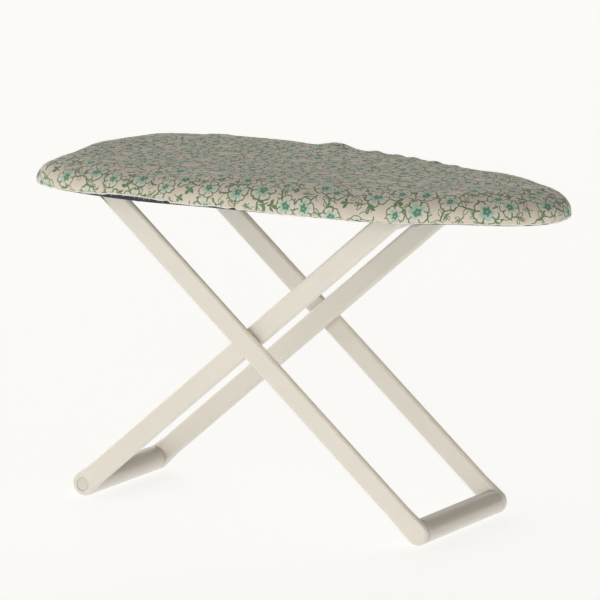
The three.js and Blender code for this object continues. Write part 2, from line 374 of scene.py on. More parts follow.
def cream_paint():
    """Cream paint, with painted light and shade: a pale painted highlight on the bars'
    upward-facing sides and rounded edges, away from their feet, and painted shade on top of the
    tubes and rods."""
    surface = Surface("cream_paint", Coat_Weight=0.5, Coat_Roughness=0.16, IOR=1.5)
    place = surface.place()
    cloudy = surface.noise(place, 90.0, 3.0)
    fine = surface.noise(place, 2600.0, 3.0, 0.6)
    specks = surface.noise(place, 900.0, 1.0)
    tint = surface.mixed(cloudy, tone(211, 206, 195), tone(218, 213, 203))
    speckled = surface.mixed(specks.below(0.2, 0.03) * 0.35, tint, tone(190, 178, 158))
    _, facing, upward = surface.split(surface.node("TexCoord").outputs["Normal"])
    # On a bar "bar" is 1; the painted highlight's fade is 1, falling to 0 at its foot. Elsewhere
    # both are 0.
    bar = surface.field(surface.node_attribute("bar", "Fac"))
    painted_light_fade = surface.field(surface.node_attribute("painted_light_fade", "Fac"))
    # Painted highlight: a pale tone on the bars' narrow sides and rounded edges that face up.
    painted_side_light = facing.abs().below(0.75, 0.15) * (upward * 3.0).clamped() * painted_light_fade
    # Painted shade: a darker tone on the upper side of the tubes and rods, none underneath.
    painted_top_shade = (upward * 0.7 + 0.4).clamped() * bar.inverse()
    with_painted_shade = surface.mixed(painted_top_shade, speckled, tone(191, 182, 168))
    surface.color(surface.mixed(painted_side_light, with_painted_shade, tone(248, 239, 219)))
    surface.roughness(cloudy * 0.12 + 0.34)
    surface.bump(fine * 0.4 + cloudy, 0.03 * MM, 0.5)
    return surface.material


def navy_board():
    surface = Surface("navy_board", IOR=1.45)
    place = surface.place()
    grain = surface.noise(surface.scaled(place, (400, 1600, 1600)), 1.0, 4.0, 0.6)
    cloudy = surface.noise(place, 120.0, 2.0)
    surface.color(surface.mixed(grain, tone(34, 40, 50), tone(50, 57, 70)))
    surface.roughness(cloudy * 0.2 + 0.6)
    surface.bump(grain, 0.05 * MM, 0.6)
    return surface.material


def plain_steel():
    surface = Surface("plain_steel", Metallic=1.0)
    place = surface.place()
    brushed = surface.noise(surface.scaled(place, (300, 6000, 6000)), 1.0, 3.0, 0.6)
    cloudy = surface.noise(place, 400.0, 2.0)
    surface.color(surface.mixed(cloudy, tone(176, 174, 168), tone(200, 198, 192)))
    surface.roughness(brushed * 0.25 + 0.25)
    surface.bump(brushed, 0.01 * MM, 0.5)
    return surface.material


def fibrous(name, roughness, scale, detail, low, high, depth, strength):
    """A soft, matt material with fine fibres."""
    surface = Surface(name, Roughness=roughness)
    fibres = surface.noise(surface.place(), scale, detail, 0.7)
    surface.color(surface.mixed(fibres, tone(*low), tone(*high)))
    surface.bump(fibres, depth, strength)
    return surface.material


# The print's and the weave's measures, in millimetres on the cloth.
FLOWER_SPACING = 6.9
FLOWER_SPREAD = 0.55
PETALS = 5
SECTOR = TAU / PETALS
LINE_SOFT = 0.05
SPRIG_SPACING = 3.5
THREAD_PITCH = 0.3


class Print:
    """The floral print, in millimetres on the flat cloth: masks from 0 to 1 for each ink."""

    def __init__(self, surface, cloth):
        self.surface = surface
        drift = surface.noise(cloth, 0.5, 1.0)
        drift_across = surface.noise(surface.moved(cloth, (31.0, 17.0, 0.0)), 0.5, 1.0)
        x, y, _ = surface.split(cloth)
        self.x = x + (drift - 0.5) * 1.0
        self.y = y + (drift_across - 0.5) * 1.0
        self.spot = surface.joined(self.x, self.y)
        self.ragged = surface.noise(cloth, 3.2, 2.0)
        self.line = surface.noise(cloth, 1.7, 1.0) * 0.12 + 0.105
        self.near = self.cell("F1", FLOWER_SPACING, FLOWER_SPREAD)
        self.next = self.cell("F2", FLOWER_SPACING, FLOWER_SPREAD)

    def cell(self, feature, spacing, spread, shift=(0.0, 0.0, 0.0)):
        """The place and random numbers of the nearest, or next nearest, scattered point."""
        place = self.surface.moved(self.spot, shift)
        node = self.surface.node("TexVoronoi", Scale=1 / spacing, Randomness=spread)
        node.voronoi_dimensions = "2D"
        node.feature = feature
        self.surface.feed(node.inputs["Vector"], place)
        x, y, _ = self.surface.split(node.outputs["Position"])
        return {
            "x": x - shift[0],
            "y": y - shift[1],
            "random": self.surface.split(node.outputs["Color"]),
        }

    def stroke(self, distance, half_width=None):
        """A drawn line along the places where the distance is nothing."""
        return distance.abs().below(self.line if half_width is None else half_width, LINE_SOFT)

    def flower(self):
        """(petal outlines, the flower's whole area, teal blot, green heart)."""
        turn, growth, misprint = self.near["random"]
        scale = growth * 0.4 + 0.84
        x = (self.x - self.near["x"]) / scale
        y = (self.y - self.near["y"]) / scale
        radius = length_of(x, y)
        angle = y.math("ARCTAN2", x) + turn * TAU
        folded = (angle.wrapped(SECTOR) - SECTOR / 2).abs()
        reach = radius * folded.cos()
        across = radius * folded.sin()
        lobe = length_of(reach - 1.8, across - 0.44) - 0.83 + (self.ragged - 0.5) * 0.35
        outside = radius.below(1.7, 0.05).inverse()
        arcs = self.stroke(lobe) * outside
        between = radius * (SECTOR / 2 - folded).sin()
        inner = radius.below(2.15, 0.05) * radius.below(1.35, 0.1).inverse()
        outline = arcs.larger(self.stroke(between) * inner)
        area = lobe.below(0.12, LINE_SOFT).larger(radius.below(1.75, LINE_SOFT))

        blot_x = x + (misprint - 0.5) * 0.7
        blot_y = y + (turn - 0.5) * 0.7
        star = (angle * PETALS).cos() * -0.32
        blot = (length_of(blot_x, blot_y) + (self.ragged - 0.5) * 1.3).below(star + 1.42, 0.14)
        ragged_heart = radius + (self.ragged - 0.5) * 1.1 + (angle * PETALS).cos() * 0.12
        heart = ragged_heart.below(0.86, 0.1)
        rays = self.stroke(across, 0.12) * radius.below(0.95, 0.08)
        return outline, area, blot, heart.larger(rays) * radius.below(0.17, 0.06).inverse()

    def stems(self):
        """Curved stems between neighbouring flowers, each with leaves: (inked, hollows)."""
        along_x = self.next["x"] - self.near["x"]
        along_y = self.next["y"] - self.near["y"]
        reach = length_of(along_x, along_y)
        unit_x = along_x / reach
        unit_y = along_y / reach
        x = self.x - self.near["x"]
        y = self.y - self.near["y"]
        along = x * unit_x + y * unit_y
        across = unit_x * y - unit_y * x
        lean = self.near["random"][0] - self.next["random"][0]
        side = lean.sign()
        bow = (along / reach * math.pi).sin() * (lean * 3.0).smaller(1.0).larger(-1.0) * 0.8
        a = (along - reach * 0.5) * side
        b = (across - bow) * side
        chance = (self.near["random"][1] + self.next["random"][1]) * 7.31
        kept = chance.wrapped(1.0).below(0.8, 0.001)
        stem = self.stroke(b, 0.21)
        leaves = [
            self.leaf(a, b, -0.5, 48, 2.3, 0.58),
            self.leaf(a, b, 0.3, -46, 2.2, 0.54),
        ]
        return self.inked(stem, leaves, kept)

    def sprigs(self):
        """Small three-leaf sprigs scattered between the flowers: (inked, hollows)."""
        cell = self.cell("F1", SPRIG_SPACING, 0.8, (57.0, 23.0, 0.0))
        turn, growth, form = cell["random"]
        angle = turn * TAU
        x = (self.x - cell["x"]) / (growth * 0.35 + 0.85)
        y = (self.y - cell["y"]) / (growth * 0.35 + 0.85)
        a = x * angle.cos() + y * angle.sin()
        b = y * angle.cos() - x * angle.sin()
        curve = b + (a * a - 0.6) * 0.16
        span = a.abs().below(1.5, 0.05)
        stem = self.stroke(curve, 0.16) * span
        leaves = [
            self.leaf(a, b, 0.2, 6, 1.7, 0.42),
            self.leaf(a, b, -0.1, 62, 1.6, 0.42),
            self.leaf(a, b, -0.1, -58, 1.6, 0.4),
        ]
        inked, hollow = self.inked(stem, leaves, form.below(0.92, 0.001))
        return inked, hollow * form.below(0.45, 0.001)

    def inked(self, stem, leaves, kept):
        """(stem and leaves as one shape, the leaves' hollows), where they are kept."""
        inked, hollow = stem, None
        for whole, inside in leaves:
            inked = inked.larger(whole)
            hollow = inside if hollow is None else hollow.larger(inside)
        return inked * kept, hollow * stem.inverse() * kept

    def leaf(self, a, b, start, degrees, length, half_width):
        """A pointed leaf that grows from the stem at start: (its whole area, its hollow)."""
        turn = math.radians(degrees)
        u = (a - start) * math.cos(turn) + b * math.sin(turn)
        v = b * math.cos(turn) - (a - start) * math.sin(turn)
        belly = (u * (math.pi / length)).sin() * half_width
        ends = u.below(length, 0.01) * u.below(0.0, 0.01).inverse()
        whole = v.abs().below(belly, LINE_SOFT) * ends
        inside = (v.abs() + 0.2).below(belly, LINE_SOFT) * ends
        return whole, inside


def printed_cotton():
    surface = Surface("printed_cotton", Sheen_Weight=0.15, Sheen_Roughness=0.5)
    cloth = surface.scaled(surface.node_attribute("cloth"), (1000, 1000, 1000))
    artwork = Print(surface, cloth)
    outline, petals, blot, heart = artwork.flower()
    stems, stem_hollows = artwork.stems()
    sprigs, sprig_hollows = artwork.sprigs()
    open_ground = petals.inverse()
    leaves = stems.larger(sprigs * stems.inverse()) * open_ground
    hollows = stem_hollows.larger(sprig_hollows * stems.inverse()) * open_ground

    x, y, _ = surface.split(cloth)
    warp = (x * (TAU / THREAD_PITCH)).cos()
    weft = (y * (TAU / THREAD_PITCH)).cos()
    weave = warp * weft
    slub = surface.noise(surface.scaled(cloth, (0.7, 14.0, 1.0)), 1.0, 2.0)
    slub_across = surface.noise(surface.scaled(cloth, (14.0, 0.7, 1.0)), 1.0, 2.0)
    threads = (slub + slub_across) * 0.5

    ground = surface.mixed(threads, tone(198, 188, 175), tone(222, 213, 201))
    ink_loss = (weave * 0.1 + threads * 0.5 + 0.68).clamped()
    green = surface.mixed(artwork.ragged, tone(64, 106, 61), tone(92, 130, 82))
    teal = surface.mixed(artwork.ragged, tone(138, 184, 168), tone(164, 202, 187))
    deep = surface.mixed(artwork.ragged, tone(68, 115, 87), tone(92, 137, 107))
    stemmed = surface.mixed(leaves * ink_loss, ground, green)
    hollowed = surface.mixed(hollows, stemmed, ground)
    with_blot = surface.mixed(blot * ink_loss * 0.9, hollowed, teal)
    with_heart = surface.mixed(heart * ink_loss, with_blot, deep)
    inked = surface.mixed(outline * ink_loss, with_heart, green)
    climb = surface.field(surface.node_attribute("climb", "Fac")) * 1000.0
    fray = (climb - artwork.ragged * 0.6).below(0.02, 0.1)
    surface.color(surface.mixed(fray, inked, tone(228, 222, 212)))
    surface.roughness(threads * 0.1 + 0.82)
    surface.bump(weave * 0.5 + threads * 1.2, 0.05 * MM, 0.7)
    return surface.material


CREAM = (cream_paint(), "cream_paint")
NAVY = (navy_board(), "navy_board")
STEEL = (plain_steel(), "plain_steel")
WADDING = (
    fibrous("wadding", 0.95, 1500.0, 5.0, (222, 216, 202), (240, 236, 226), 0.3 * MM, 0.8),
    "wadding",
)
THREAD = (
    fibrous("thread", 0.9, 3000.0, 3.0, (214, 206, 192), (236, 230, 220), 0.04 * MM, 0.6),
    "printed_cotton",
)
COTTON = (printed_cotton(), "printed_cotton")

# ---------- the board's plan ----------


def bezier(points, steps):
    """Points on a quadratic or cubic curve, without its last one."""
    t = np.linspace(0, 1, steps + 1)[:-1, None]
    curve = [np.repeat([point], steps, axis=0) for point in np.array(points, float)]
    while len(curve) > 1:
        curve = [a * (1 - t) + b * t for a, b in zip(curve, curve[1:])]
    return curve[0]


def left_of(loop):
    """The unit direction to the left of a closed line, at each of its points."""
    along = np.roll(loop, -1, 0) - np.roll(loop, 1, 0)
    along /= np.linalg.norm(along, axis=1)[:, None]
    return np.stack([-along[:, 1], along[:, 0]], axis=1)


def core_outline(count):
    """The board's core outline as count evenly spaced points, and the outward direction at each.
    The finished edge runs EDGE_RADIUS outside it."""
    tail = COVER_LOW.x + EDGE_RADIUS
    nose = COVER_HIGH.x - EDGE_RADIUS
    half = 29.4 * MM
    tail_end = (tail + 2.4 * MM, 22.4 * MM)
    side_start = (tail + 3.8 * MM, 24.3 * MM)
    widest = (-26.4 * MM, half)
    upper = np.vstack([
        bezier([(tail, 0), (tail, 8 * MM), (tail + 0.8 * MM, 16 * MM), tail_end], 120),
        bezier([tail_end, (tail + 2.75 * MM, 23.8 * MM), side_start], 60),
        bezier([side_start, (-54.5 * MM, 27.1 * MM), (-47 * MM, half), widest], 160),
        bezier([widest, (12.4 * MM, half), (nose, 0.52 * half), (nose, 0)], 400),
        [(nose, 0)],
    ])
    lower = upper[1:-1][::-1] * (1, -1)
    loop = np.vstack([upper, lower])
    outward = left_of(loop)
    finished = loop + outward * EDGE_RADIUS
    steps = np.linalg.norm(np.diff(np.vstack([finished, finished[:1]]), axis=0), axis=1)
    place = np.concatenate([[0], np.cumsum(steps)])
    wanted = np.arange(count) / count * place[-1]

    def resampled(values):
        closed = np.vstack([values, values[:1]])
        return np.stack([np.interp(wanted, place, closed[:, k]) for k in range(2)], axis=1)

    core = resampled(loop)
    outward = resampled(outward)
    outward /= np.linalg.norm(outward, axis=1)[:, None]
    return core, outward, wanted


SPINE_SHARE = 0.7
SLAB_POINTS = 260
SLAB_RINGS = 8
EDGE_BAND = 22 * MM


def inner_rings(core, count):
    """Rings of plan points from the core outline in to the line down the board's middle."""
    spine = np.stack([core[:, 0] * SPINE_SHARE, np.zeros(len(core))], axis=1)
    shares = np.linspace(0, 1, count + 1)[1:]
    return [core * (1 - share) + spine * share for share in shares]


def ring_faces(ring_count, count):
    faces = []
    for index in range(ring_count - 1):
        faces += band(index * count, (index + 1) * count, count)
    return faces


def spine_welded(ring_count, count):
    """The faces of rings that close on a line: the last ring's far half is its near half."""
    last = (ring_count - 1) * count

    def meet(index):
        mirrored = count - (index - last)
        return last + mirrored if index - last > count // 2 else index

    return [tuple(meet(i) for i in face) for face in ring_faces(ring_count, count)]


def bump_between(x, start, end):
    """A smooth hump over x from start to end, one in its middle and nothing outside."""
    share = np.clip((x - start) / (end - start), 0, 1)
    return np.sin(math.pi * share) ** 2


def warped(points):
    """The thin board isn't quite flat: each long edge rises a little and then dips, and its nose
    and the tail's far corner droop."""
    points = np.array(points)
    x = points[:, 0] / MM
    near = np.clip(-points[:, 1] / EDGE_BAND, 0, 1) ** 2
    far = np.clip(points[:, 1] / EDGE_BAND, 0, 1) ** 2
    near_rise = 0.3 * bump_between(x, -34, 14) - 0.5 * bump_between(x, 8, 62)
    far_rise = -0.5 * bump_between(x, -6, 66) - 0.35 * bump_between(x, -92, -36)
    droop = 0.75 * bump_between(x, 44, 98)
    points[:, 2] += (near_rise * near + far_rise * far - droop) * MM
    return points


def panel_dip(middle_x, y):
    """How far the panel's underside dips over a bar's mitred top."""
    over_top = [(middle_x + shift * MM, y, PANEL_LOW.z) for shift in (-4, -2, 0, 2, 4)]
    return max(PANEL_LOW.z - warped(over_top)[:, 2].min(), 0)


def lifted(plan, height):
    """Plan points at one height."""
    return np.column_stack([plan, np.full(len(plan), height)])


def slab(name, profile, finish):
    """A closed slab of the board's plan. The profile is (reach outside the core, height)."""
    core, outward, _ = core_outline(SLAB_POINTS)
    inside = inner_rings(core, SLAB_RINGS)
    under = [lifted(ring, profile[0][1]) for ring in reversed(inside)]
    side = [lifted(core + outward * reach, height) for reach, height in profile]
    over = [lifted(ring, profile[-1][1]) for ring in inside]
    rings = [*under, *side, *over]
    points = warped(np.vstack(rings))
    piece = add_piece(name, points, ring_faces(len(rings), SLAB_POINTS), finish, "board")
    close_up(piece)
    return piece


def panel_profile():
    """The board's square edge, a little worn round at its two corners."""
    reach = EDGE_RADIUS - PANEL_INSET
    corner = quarter_round(PANEL_WORN, 4)
    lower = [(reach - across, PANEL_LOW.z + down) for across, down in corner]
    upper = [(reach - across, PANEL_HIGH.z - down) for across, down in reversed(corner)]
    return [*lower, *upper]


def pad_profile():
    """The pad's rounded side, level with the cover's, and its flat top."""
    radius = EDGE_RADIUS - PAD_INSET
    centre = COVER_HIGH.z - EDGE_RADIUS
    start = math.asin((PAD_LOW.z - centre) / radius)
    arc = np.linspace(start, math.pi / 2, 12)
    return [(radius * math.cos(a), centre + radius * math.sin(a)) for a in arc]


panel = slab("panel", panel_profile(), NAVY)
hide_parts("base_panel")
pad = slab("pad", pad_profile(), WADDING)
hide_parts("foam_pad")

# ---------- cloth cover ----------

CLOTH = 0.3 * MM
RIM_POINTS = 540
EDGE_STEPS = 12
TOP_STEPS = 18
SIM_SCALE = 10
SIM_FRAMES = 20
SLACK = 1.012
MOST_OUT = 1.1 * MM
MOST_IN = 0.12 * MM
TOP_HELD = 0.75
SLIDE_KEPT = 0.5
BULGE_HEIGHT = 83.7 * MM
TUCK_RADIUS = 1.3 * MM
LUMP_HEIGHT = 0.13 * MM


def wander(place, seed, waves):
    """A smooth random wave along the rim, from -1 to 1, that meets itself at the end."""
    source = np.random.default_rng(seed)
    total = np.zeros(len(place))
    for step in range(1, 5):
        phase = source.uniform(0, TAU)
        total += np.sin(place * TAU * waves * step + phase) / step
    return total / 2.1


def rim_heights(core, place):
    """The hem's height round the board. It is cut a little high near the tail's near side."""
    x = core[:, 0] / MM
    near = core[:, 1] < 0
    around = place / place.max()
    height = np.full(len(x), 82.72)
    height += 0.1 * wander(around, 3, 13) + 0.06 * wander(around, 5, 41)
    cut_high = 1.15 * bump_between(x, -50, -16) + 0.3 * bump_between(x, -14, -4)
    return (height + np.where(near, cut_high - 0.25 * bump_between(x, -8, 60), 0)) * MM


def edge_profile(rim):
    """(reach outside the core, height, length of cloth from the top) for each step up the edge,
    for a hem at the heights given. The cloth tucks in under the bulge of the edge."""
    top = COVER_HIGH.z
    rise = top - BULGE_HEIGHT
    quarter = np.linspace(0, math.pi / 2, 200)
    reach = EDGE_RADIUS * np.cos(quarter)
    height = BULGE_HEIGHT + rise * np.sin(quarter)
    tuck = np.linspace(math.pi / 2, 0, 60)[:-1]
    reach = np.concatenate([EDGE_RADIUS - TUCK_RADIUS * (1 - np.cos(tuck)), reach])
    height = np.concatenate([BULGE_HEIGHT - TUCK_RADIUS * np.sin(tuck), height])
    steps = np.hypot(np.diff(reach), np.diff(height))
    left = np.concatenate([np.cumsum(steps[::-1])[::-1], [0]])
    start = np.interp(rim, height, left)
    left, reach, height = left[::-1], reach[::-1], height[::-1]
    profile = []
    for step in range(EDGE_STEPS + 1):
        wanted = start * (1 - step / EDGE_STEPS)
        profile.append((np.interp(wanted, left, reach), np.interp(wanted, left, height), wanted))
    return profile


def cover_shapes():
    """The cover's points as it is wrapped round the pad, the same points on the flat cut, and
    each point's (place along the rim, length of cloth up from the rim)."""
    core, outward, place = core_outline(RIM_POINTS)
    top = COVER_HIGH.z
    wrapped, flat, spots = [], [], []
    profile = edge_profile(rim_heights(core, place))
    hem = profile[0][2]
    for reach, height, unrolled in profile:
        wrapped.append(np.column_stack([core + outward * reach[:, None], height]))
        flat.append(core + outward * unrolled[:, None])
        spots.append(np.column_stack([place, hem - unrolled]))
    for ring in inner_rings(core, TOP_STEPS):
        wrapped.append(lifted(ring, top))
        flat.append(ring)
        inward = np.linalg.norm(ring - core, axis=1)
        spots.append(np.column_stack([place, hem + inward]))
    used = (EDGE_STEPS + TOP_STEPS) * RIM_POINTS + RIM_POINTS // 2 + 1
    wrapped, flat, spots = (np.vstack(rings)[:used] for rings in (wrapped, flat, spots))
    return warped(wrapped), flat, spots


# Creases that stand out: (x, side, how far it leans as it climbs, width, height, length up the
# cloth), in millimetres.
KNOWN_CREASES = [
    (-23, -1, -0.5, 0.9, -1.0, 10),
    (-5, -1, -0.1, 0.9, -0.85, 9),
    (-40, -1, 0.4, 1.0, -0.6, 8),
    (-12, 1, 0.0, 4.8, 1.35, 22),
    (-1, 1, 0.1, 1.5, 0.55, 16),
    (6.5, 1, 0.1, 1.4, 0.5, 15),
    (12, 1, 0.0, 1.3, 0.5, 14),
    (18.5, 1, 0.1, 1.4, 0.55, 14),
    (25, 1, 0.1, 1.4, 0.5, 12),
    (37, 1, 0.1, 1.8, 0.4, 10),
]
GATHERS = 54
TIGHT_ENDS = 52 * MM
OTHER_SIDE = 999
LUMP_WAVES = 14


def all_creases(core, place):
    """The known creases and the small gathers round the hem, each placed along the rim."""
    source = np.random.default_rng(11)
    creases = []
    for x, side, lean, width, height, reach in KNOWN_CREASES:
        gap = np.abs(core[:, 0] / MM - x) + np.where(core[:, 1] * side > 0, 0, OTHER_SIDE)
        creases.append((place[np.argmin(gap)] / MM, lean, width, height, reach))
    total = place.max() / MM
    for number in range(GATHERS):
        spot = (number + source.uniform(-0.4, 0.4)) / GATHERS * total
        index = np.argmin(np.abs(place / MM - spot))
        tight = abs(core[index, 0]) > TIGHT_ENDS
        height = source.uniform(0.1, 0.26) * (1.5 if tight else 1.0) * source.choice([-1, 1])
        lean = source.uniform(-0.5, 0.5)
        width = source.uniform(0.6, 1.3)
        creases.append((spot, lean, width, height, source.uniform(4, 10)))
    return creases, total


def crease_heights(spots, core, place):
    """How far each point stands out for the creases, with the cloth drawn in beside each."""
    along = spots[:, 0] / MM
    climb = spots[:, 1] / MM
    heights = np.zeros(len(spots))
    creases, total = all_creases(core, place)
    for spot, lean, width, height, reach in creases:
        aside = along - spot - lean * climb
        aside = (aside + total / 2) % total - total / 2
        share = (aside / width) ** 2
        ridge = (1 - 0.7 * share) * np.exp(-share / 1.6)
        fade = np.clip(1 - climb / reach, 0, 1) ** 0.8
        heights += height * ridge * fade
    return heights * MM


def lumps(points):
    """The wadding's soft unevenness under the cloth, from -1 to 1."""
    source = np.random.default_rng(29)
    total = np.zeros(len(points))
    for _ in range(LUMP_WAVES):
        turn = source.uniform(0, TAU)
        wave = TAU / source.uniform(9, 26) / MM
        across = points[:, 0] * math.cos(turn) + points[:, 1] * math.sin(turn)
        total += np.sin(across * wave + source.uniform(0, TAU))
    return total / 5


def settled(wrapped, flat, faces):
    """The wrapped points after the cloth, cut to the flat shape, settles on a pad that pushes it
    out. Its hem is held."""
    work = placed("settling", new_mesh("settling", wrapped * SIM_SCALE, faces))
    work.shape_key_add(name="Basis")
    cut = work.shape_key_add(name="cut")
    laid = lifted(flat * SLACK, wrapped[:, 2].mean()) * SIM_SCALE
    cut.data.foreach_set("co", laid.ravel())
    cut.value = 0
    rim = work.vertex_groups.new(name="rim")
    rim.add(list(range(RIM_POINTS)), 1.0, "REPLACE")
    cloth = work.modifiers.new("cloth", "CLOTH")
    settings = cloth.settings
    settings.quality = 6
    settings.vertex_group_mass = "rim"
    settings.rest_shape_key = cut
    settings.tension_stiffness = 40
    settings.compression_stiffness = 40
    settings.shear_stiffness = 10
    settings.bending_stiffness = 0.3
    settings.use_pressure = True
    settings.uniform_pressure_force = 3.0
    settings.effector_weights.gravity = 0
    cloth.point_cache.frame_start = 1
    cloth.point_cache.frame_end = SIM_FRAMES
    scene = bpy.context.scene
    for number in range(1, SIM_FRAMES + 1):
        scene.frame_set(number)
    shaped = work.evaluated_get(bpy.context.evaluated_depsgraph_get())
    result = np.empty(len(wrapped) * 3)
    shaped.data.vertices.foreach_get("co", result)
    bpy.data.objects.remove(work)
    scene.frame_set(1)
    return result.reshape(-1, 3) / SIM_SCALE


def outward_normals(points, faces):
    mesh = new_mesh("normals", points, faces)
    normals = np.empty(len(points) * 3)
    mesh.vertices.foreach_get("normal", normals)
    bpy.data.meshes.remove(mesh)
    return normals.reshape(-1, 3)


def limited(wrapped, moved, normals):
    """Caps how far the cloth may stand off the pad or press into it, more so towards the middle
    of the top, and keeps a share of how far it slid."""
    shift = moved - wrapped
    out = (shift * normals).sum(axis=1)
    along = shift - normals * out[:, None]
    ring = np.arange(len(wrapped)) // RIM_POINTS
    inner = np.clip((ring - EDGE_STEPS) / TOP_STEPS, 0, 1)
    ease = 1 - TOP_HELD * inner ** 0.5
    out = np.where(out > 0, MOST_OUT * np.tanh(out / MOST_OUT), MOST_IN * np.tanh(out / MOST_IN))
    return wrapped + normals * (out * ease)[:, None] + along * SLIDE_KEPT


def add_cover():
    wrapped, flat, spots = cover_shapes()
    core, _, place = core_outline(RIM_POINTS)
    faces = spine_welded(EDGE_STEPS + 1 + TOP_STEPS, RIM_POINTS)
    normals = outward_normals(wrapped, faces)
    shaped = limited(wrapped, settled(wrapped, flat, faces), normals)
    stand = crease_heights(spots, core, place) + LUMP_HEIGHT * lumps(wrapped)
    shaped = shaped + normals * stand[:, None]
    piece = add_piece("cover", shaped, faces, COTTON, "board")
    cloth = piece.data.attributes.new("cloth", "FLOAT_VECTOR", "POINT")
    cloth.data.foreach_set("vector", lifted(flat, 0).ravel())
    mark(piece, "climb", spots[:, 1].copy())
    smooth = piece.modifiers.new("smooth", "SUBSURF")
    smooth.levels = 1
    smooth.render_levels = 1
    thickness = piece.modifiers.new("thickness", "SOLIDIFY")
    thickness.thickness = CLOTH
    thickness.offset = -1
    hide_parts("fabric_cover")
    return piece, shaped[:RIM_POINTS], flat


THREAD_TRIES = 330
THREAD_RADIUS = 0.045 * MM
THREAD_SIDES = 5
THREAD_STEPS = 5


def add_raw_threads(rim):
    """Loose thread ends along the cover's raw hem, most of them where it is cut high."""
    source = np.random.default_rng(17)
    points, faces = [], []
    count = len(rim)
    for _ in range(THREAD_TRIES):
        index = source.integers(0, count)
        x = rim[index, 0] / MM
        near = rim[index, 1] < 0
        likely = 1.0 if near and -50 < x < -14 else 0.3
        if source.uniform() > likely:
            continue
        start = Vector(rim[index])
        ahead = (Vector(rim[(index + 1) % count]) - start).normalized()
        outward = ahead.cross(Vector((0, 0, 1)))
        start += ahead * source.uniform(0, 1.0) * MM - outward * 0.1 * MM
        start.z += 0.12 * MM
        run = ahead * source.uniform(-0.9, 0.9) + Vector((0, 0, -source.uniform(0.15, 0.6)))
        run = run.normalized() * source.uniform(0.35, 1.0) * MM
        curl = outward * source.uniform(-0.05, 0.2) * MM + ahead * source.uniform(-0.25, 0.25) * MM
        side = run.cross(outward).normalized()
        up = side.cross(run).normalized()
        first = len(points)
        for step in range(THREAD_STEPS + 1):
            share = step / THREAD_STEPS
            centre = start + run * share + curl * share * share
            radius = THREAD_RADIUS * (1 - 0.6 * share)
            for number in range(THREAD_SIDES):
                angle = TAU * number / THREAD_SIDES
                spoke = side * math.cos(angle) + up * math.sin(angle)
                points.append(centre + spoke * radius)
        tube = ring_faces(THREAD_STEPS + 1, THREAD_SIDES)
        faces += [tuple(first + i for i in face) for face in tube]
        last = first + THREAD_STEPS * THREAD_SIDES
        faces.append(tuple(range(first, first + THREAD_SIDES)))
        faces.append(tuple(range(last, last + THREAD_SIDES)))
    piece = add_piece("raw_threads", points, faces, THREAD, "board")
    close_up(piece, 0.0001 * MM)
    return piece


cover, rim_points, flat_cut = add_cover()
raw_threads = add_raw_threads(rim_points)

# ---------- leg frames ----------

BAR_EDGE = 0.85 * MM
ROUND_STEPS = 6
BAR_HALF = 2.825 * MM
EYE_TAPER = 6 * MM
MITRE_GAP = 0.2 * MM
MITRE_ROUND = 1.3 * MM
BORE_FLOOR = 0.6 * MM
HINGE_ROD = 1.1 * MM
SLIDE_ROD = 1.7 * MM
TIE_ROD = 1.7 * MM
PIN = 1.2 * MM
TUBE_BORE = 2 * MM
TUBE_EDGE = 0.5 * MM
TUBE_SIDES = 96
ROD_EDGE = 0.2 * MM
SMALL_EDGE = 0.15 * MM
ROD_EDGE_STEPS = 4
# The gap round a rod or pin in its bore.
SEAM = 0.05 * MM
# The painted highlight on the bars' sides stops this far above the foot's middle, and fades over
# this length.
FOOT_START = 2 * MM
FOOT_FADE = 4 * MM
# Which faces of a bar a bore opens on.
THROUGH = 0
INWARD = -1
OUTWARD = 1
FULL_TURN = np.arange(48) * TAU / 48


def circle(centre, radius, angles=FULL_TURN):
    """Points round a centre on a bar's middle line."""
    return np.stack([centre + radius * np.cos(angles), radius * np.sin(angles)], axis=1)


def rounded_corner(before, corner, after, size):
    """Points round a corner, on a curve that starts and ends at that distance from it."""
    before, corner, after = (np.array(p, float) for p in (before, corner, after))
    start = corner + (before - corner) / np.linalg.norm(before - corner) * size
    end = corner + (after - corner) / np.linalg.norm(after - corner) * size
    return np.vstack([bezier([start, corner, end], ROUND_STEPS), [end]])


def bar_outline(length, fall, rise, dip):
    """The bar's outline, along x from its top bore to its foot bore, and outward directions.
    The top is mitred level with the board, lower by dip, at a slope of fall, and rise is 1 or
    -1, the side that faces the board."""
    reach = math.hypot(EYE_TAPER, BAR_HALF)
    tangent = math.atan2(BAR_HALF, EYE_TAPER) + math.acos(FOOT_RADIUS / reach)
    angles = np.linspace(tangent - math.pi, math.pi - tangent, 41)
    foot = circle(length, FOOT_RADIUS, angles)
    mitre_top = PANEL_LOW.z - dip - MITRE_GAP - HINGE.z

    def on_mitre(w):
        return ((w * math.cos(fall) - mitre_top) / math.sin(fall), w)

    heel = on_mitre(BAR_HALF)
    tip = on_mitre(-BAR_HALF)
    straight = np.linspace(length - EYE_TAPER, 0, 9)
    upper = np.stack([straight, np.full(len(straight), BAR_HALF)], axis=1)
    lower = np.stack([straight[::-1], np.full(len(straight), -BAR_HALF)], axis=1)
    heel_round = rounded_corner(upper[-1], heel, tip, MITRE_ROUND / 2)
    tip_round = rounded_corner(heel, tip, lower[0], MITRE_ROUND)
    loop = np.vstack([foot, upper, heel_round, tip_round, lower])
    outward = -left_of(loop)
    return loop * (1, rise), outward * (1, rise)


def bar_profile(half):
    """(inset, y) across a bar whose long edges are rounded, from one face to the other."""
    first = [(inset, depth - half) for inset, depth in quarter_round(BAR_EDGE, ROUND_STEPS)]
    return first + [(inset, -y) for inset, y in reversed(first)]


